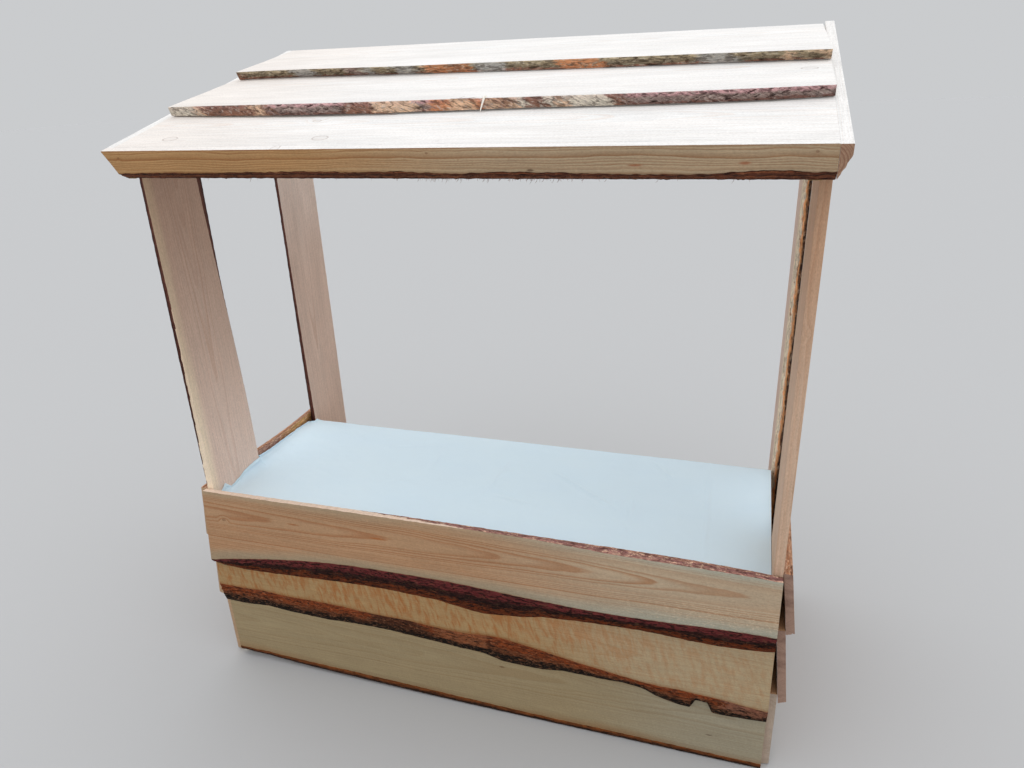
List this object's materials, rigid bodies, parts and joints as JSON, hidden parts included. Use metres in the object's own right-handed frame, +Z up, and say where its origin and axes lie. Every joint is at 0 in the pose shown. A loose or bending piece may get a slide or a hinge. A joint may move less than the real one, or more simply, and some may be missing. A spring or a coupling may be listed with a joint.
{
  "type": "wooden market stall",
  "caption": "Market stall of rough-sawn waney boards: lapped boards under a cloth-covered counter, wide posts and a single-slope roof of lapped boards.",
  "frame": {"origin": "on the ground, under the centre of the whole stall", "axes": "+X to the customer's right along the front, +Y from the customer's side to the seller's side, +Z up"},
  "size_m": [2.0836, 1.0512, 2.2094],
  "materials": {
    "front_wood": "rough sawn, untreated, with bark edges",
    "side_wood": "rough sawn, untreated, with bark edges",
    "post_wood": "rough sawn, untreated, with bark edges",
    "counter_wood": "rough sawn, untreated",
    "roof_wood": "rough sawn, untreated, with bark edges",
    "cloth": "matte white cotton"
  },
  "bodies": {
    "root": {"front_board_lower": "front_wood", "front_board_middle": "front_wood", "front_board_upper": "front_wood", "left_board_lower": "side_wood", "left_board_middle": "side_wood", "left_board_upper": "side_wood", "right_board_lower": "side_wood", "right_board_middle": "side_wood", "right_board_upper": "side_wood", "post_front_left": "post_wood", "post_front_right": "post_wood", "post_back_left": "post_wood", "post_back_right": "post_wood", "table_board_front": "counter_wood", "table_board_middle": "counter_wood", "table_board_back": "counter_wood", "table_bearer_left": "counter_wood", "table_bearer_right": "counter_wood", "table_rail_front": "counter_wood", "table_rail_back": "counter_wood", "tablecloth": "cloth", "tablecloth_edge": "cloth", "roof_board_lower": "roof_wood", "roof_board_middle": "roof_wood", "roof_board_upper": "roof_wood", "rafter_left": "roof_wood", "rafter_right": "roof_wood", "fascia_board": "roof_wood", "barge_board_left": "roof_wood", "barge_board_right": "roof_wood"}
  },
  "joints": []
}
